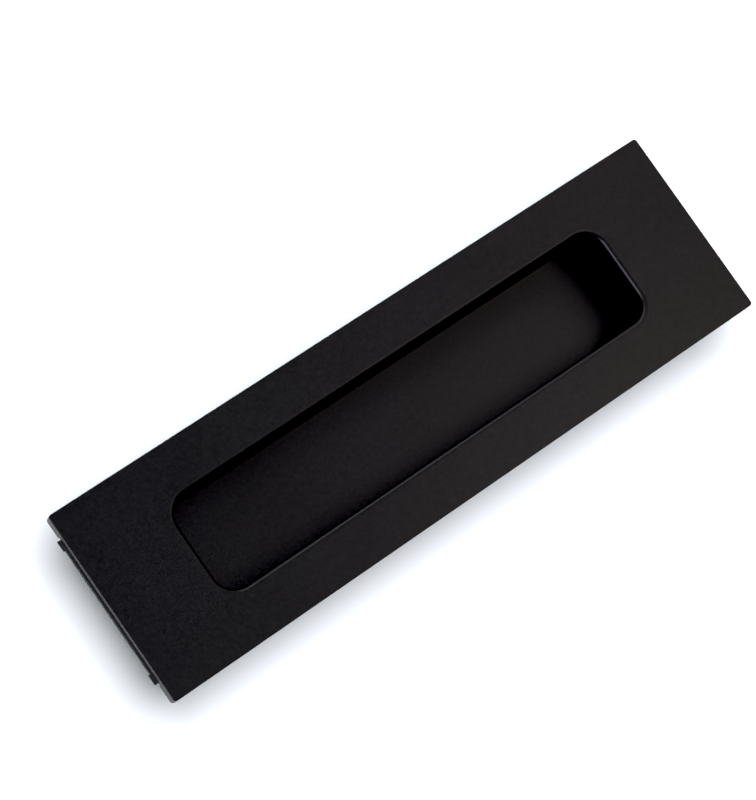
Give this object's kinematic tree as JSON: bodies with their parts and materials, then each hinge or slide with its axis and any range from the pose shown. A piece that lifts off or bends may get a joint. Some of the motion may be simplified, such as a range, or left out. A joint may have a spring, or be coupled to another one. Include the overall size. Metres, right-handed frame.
{
  "type": "recessed flush pull",
  "caption": "Rectangular matte black flush pull for a sliding barn door, with a deep finger cup shaped as a rounded rectangle and a concealed clip-in fixing frame.",
  "frame": {"origin": "centre of the plate's footprint on the door's face, which is also the centre of the screw pattern", "axes": "+X along the plate, +Y across it, +Z out of the door"},
  "size_m": [0.2016, 0.057, 0.019],
  "materials": {
    "coated_casting": "fine matte black powder coat on a zinc casting",
    "frame_moulding": "moulded black nylon with a dull, slightly grained surface"
  },
  "bodies": {
    "root": {"pull_body": "coated_casting", "rear_frame": "frame_moulding"}
  },
  "joints": []
}
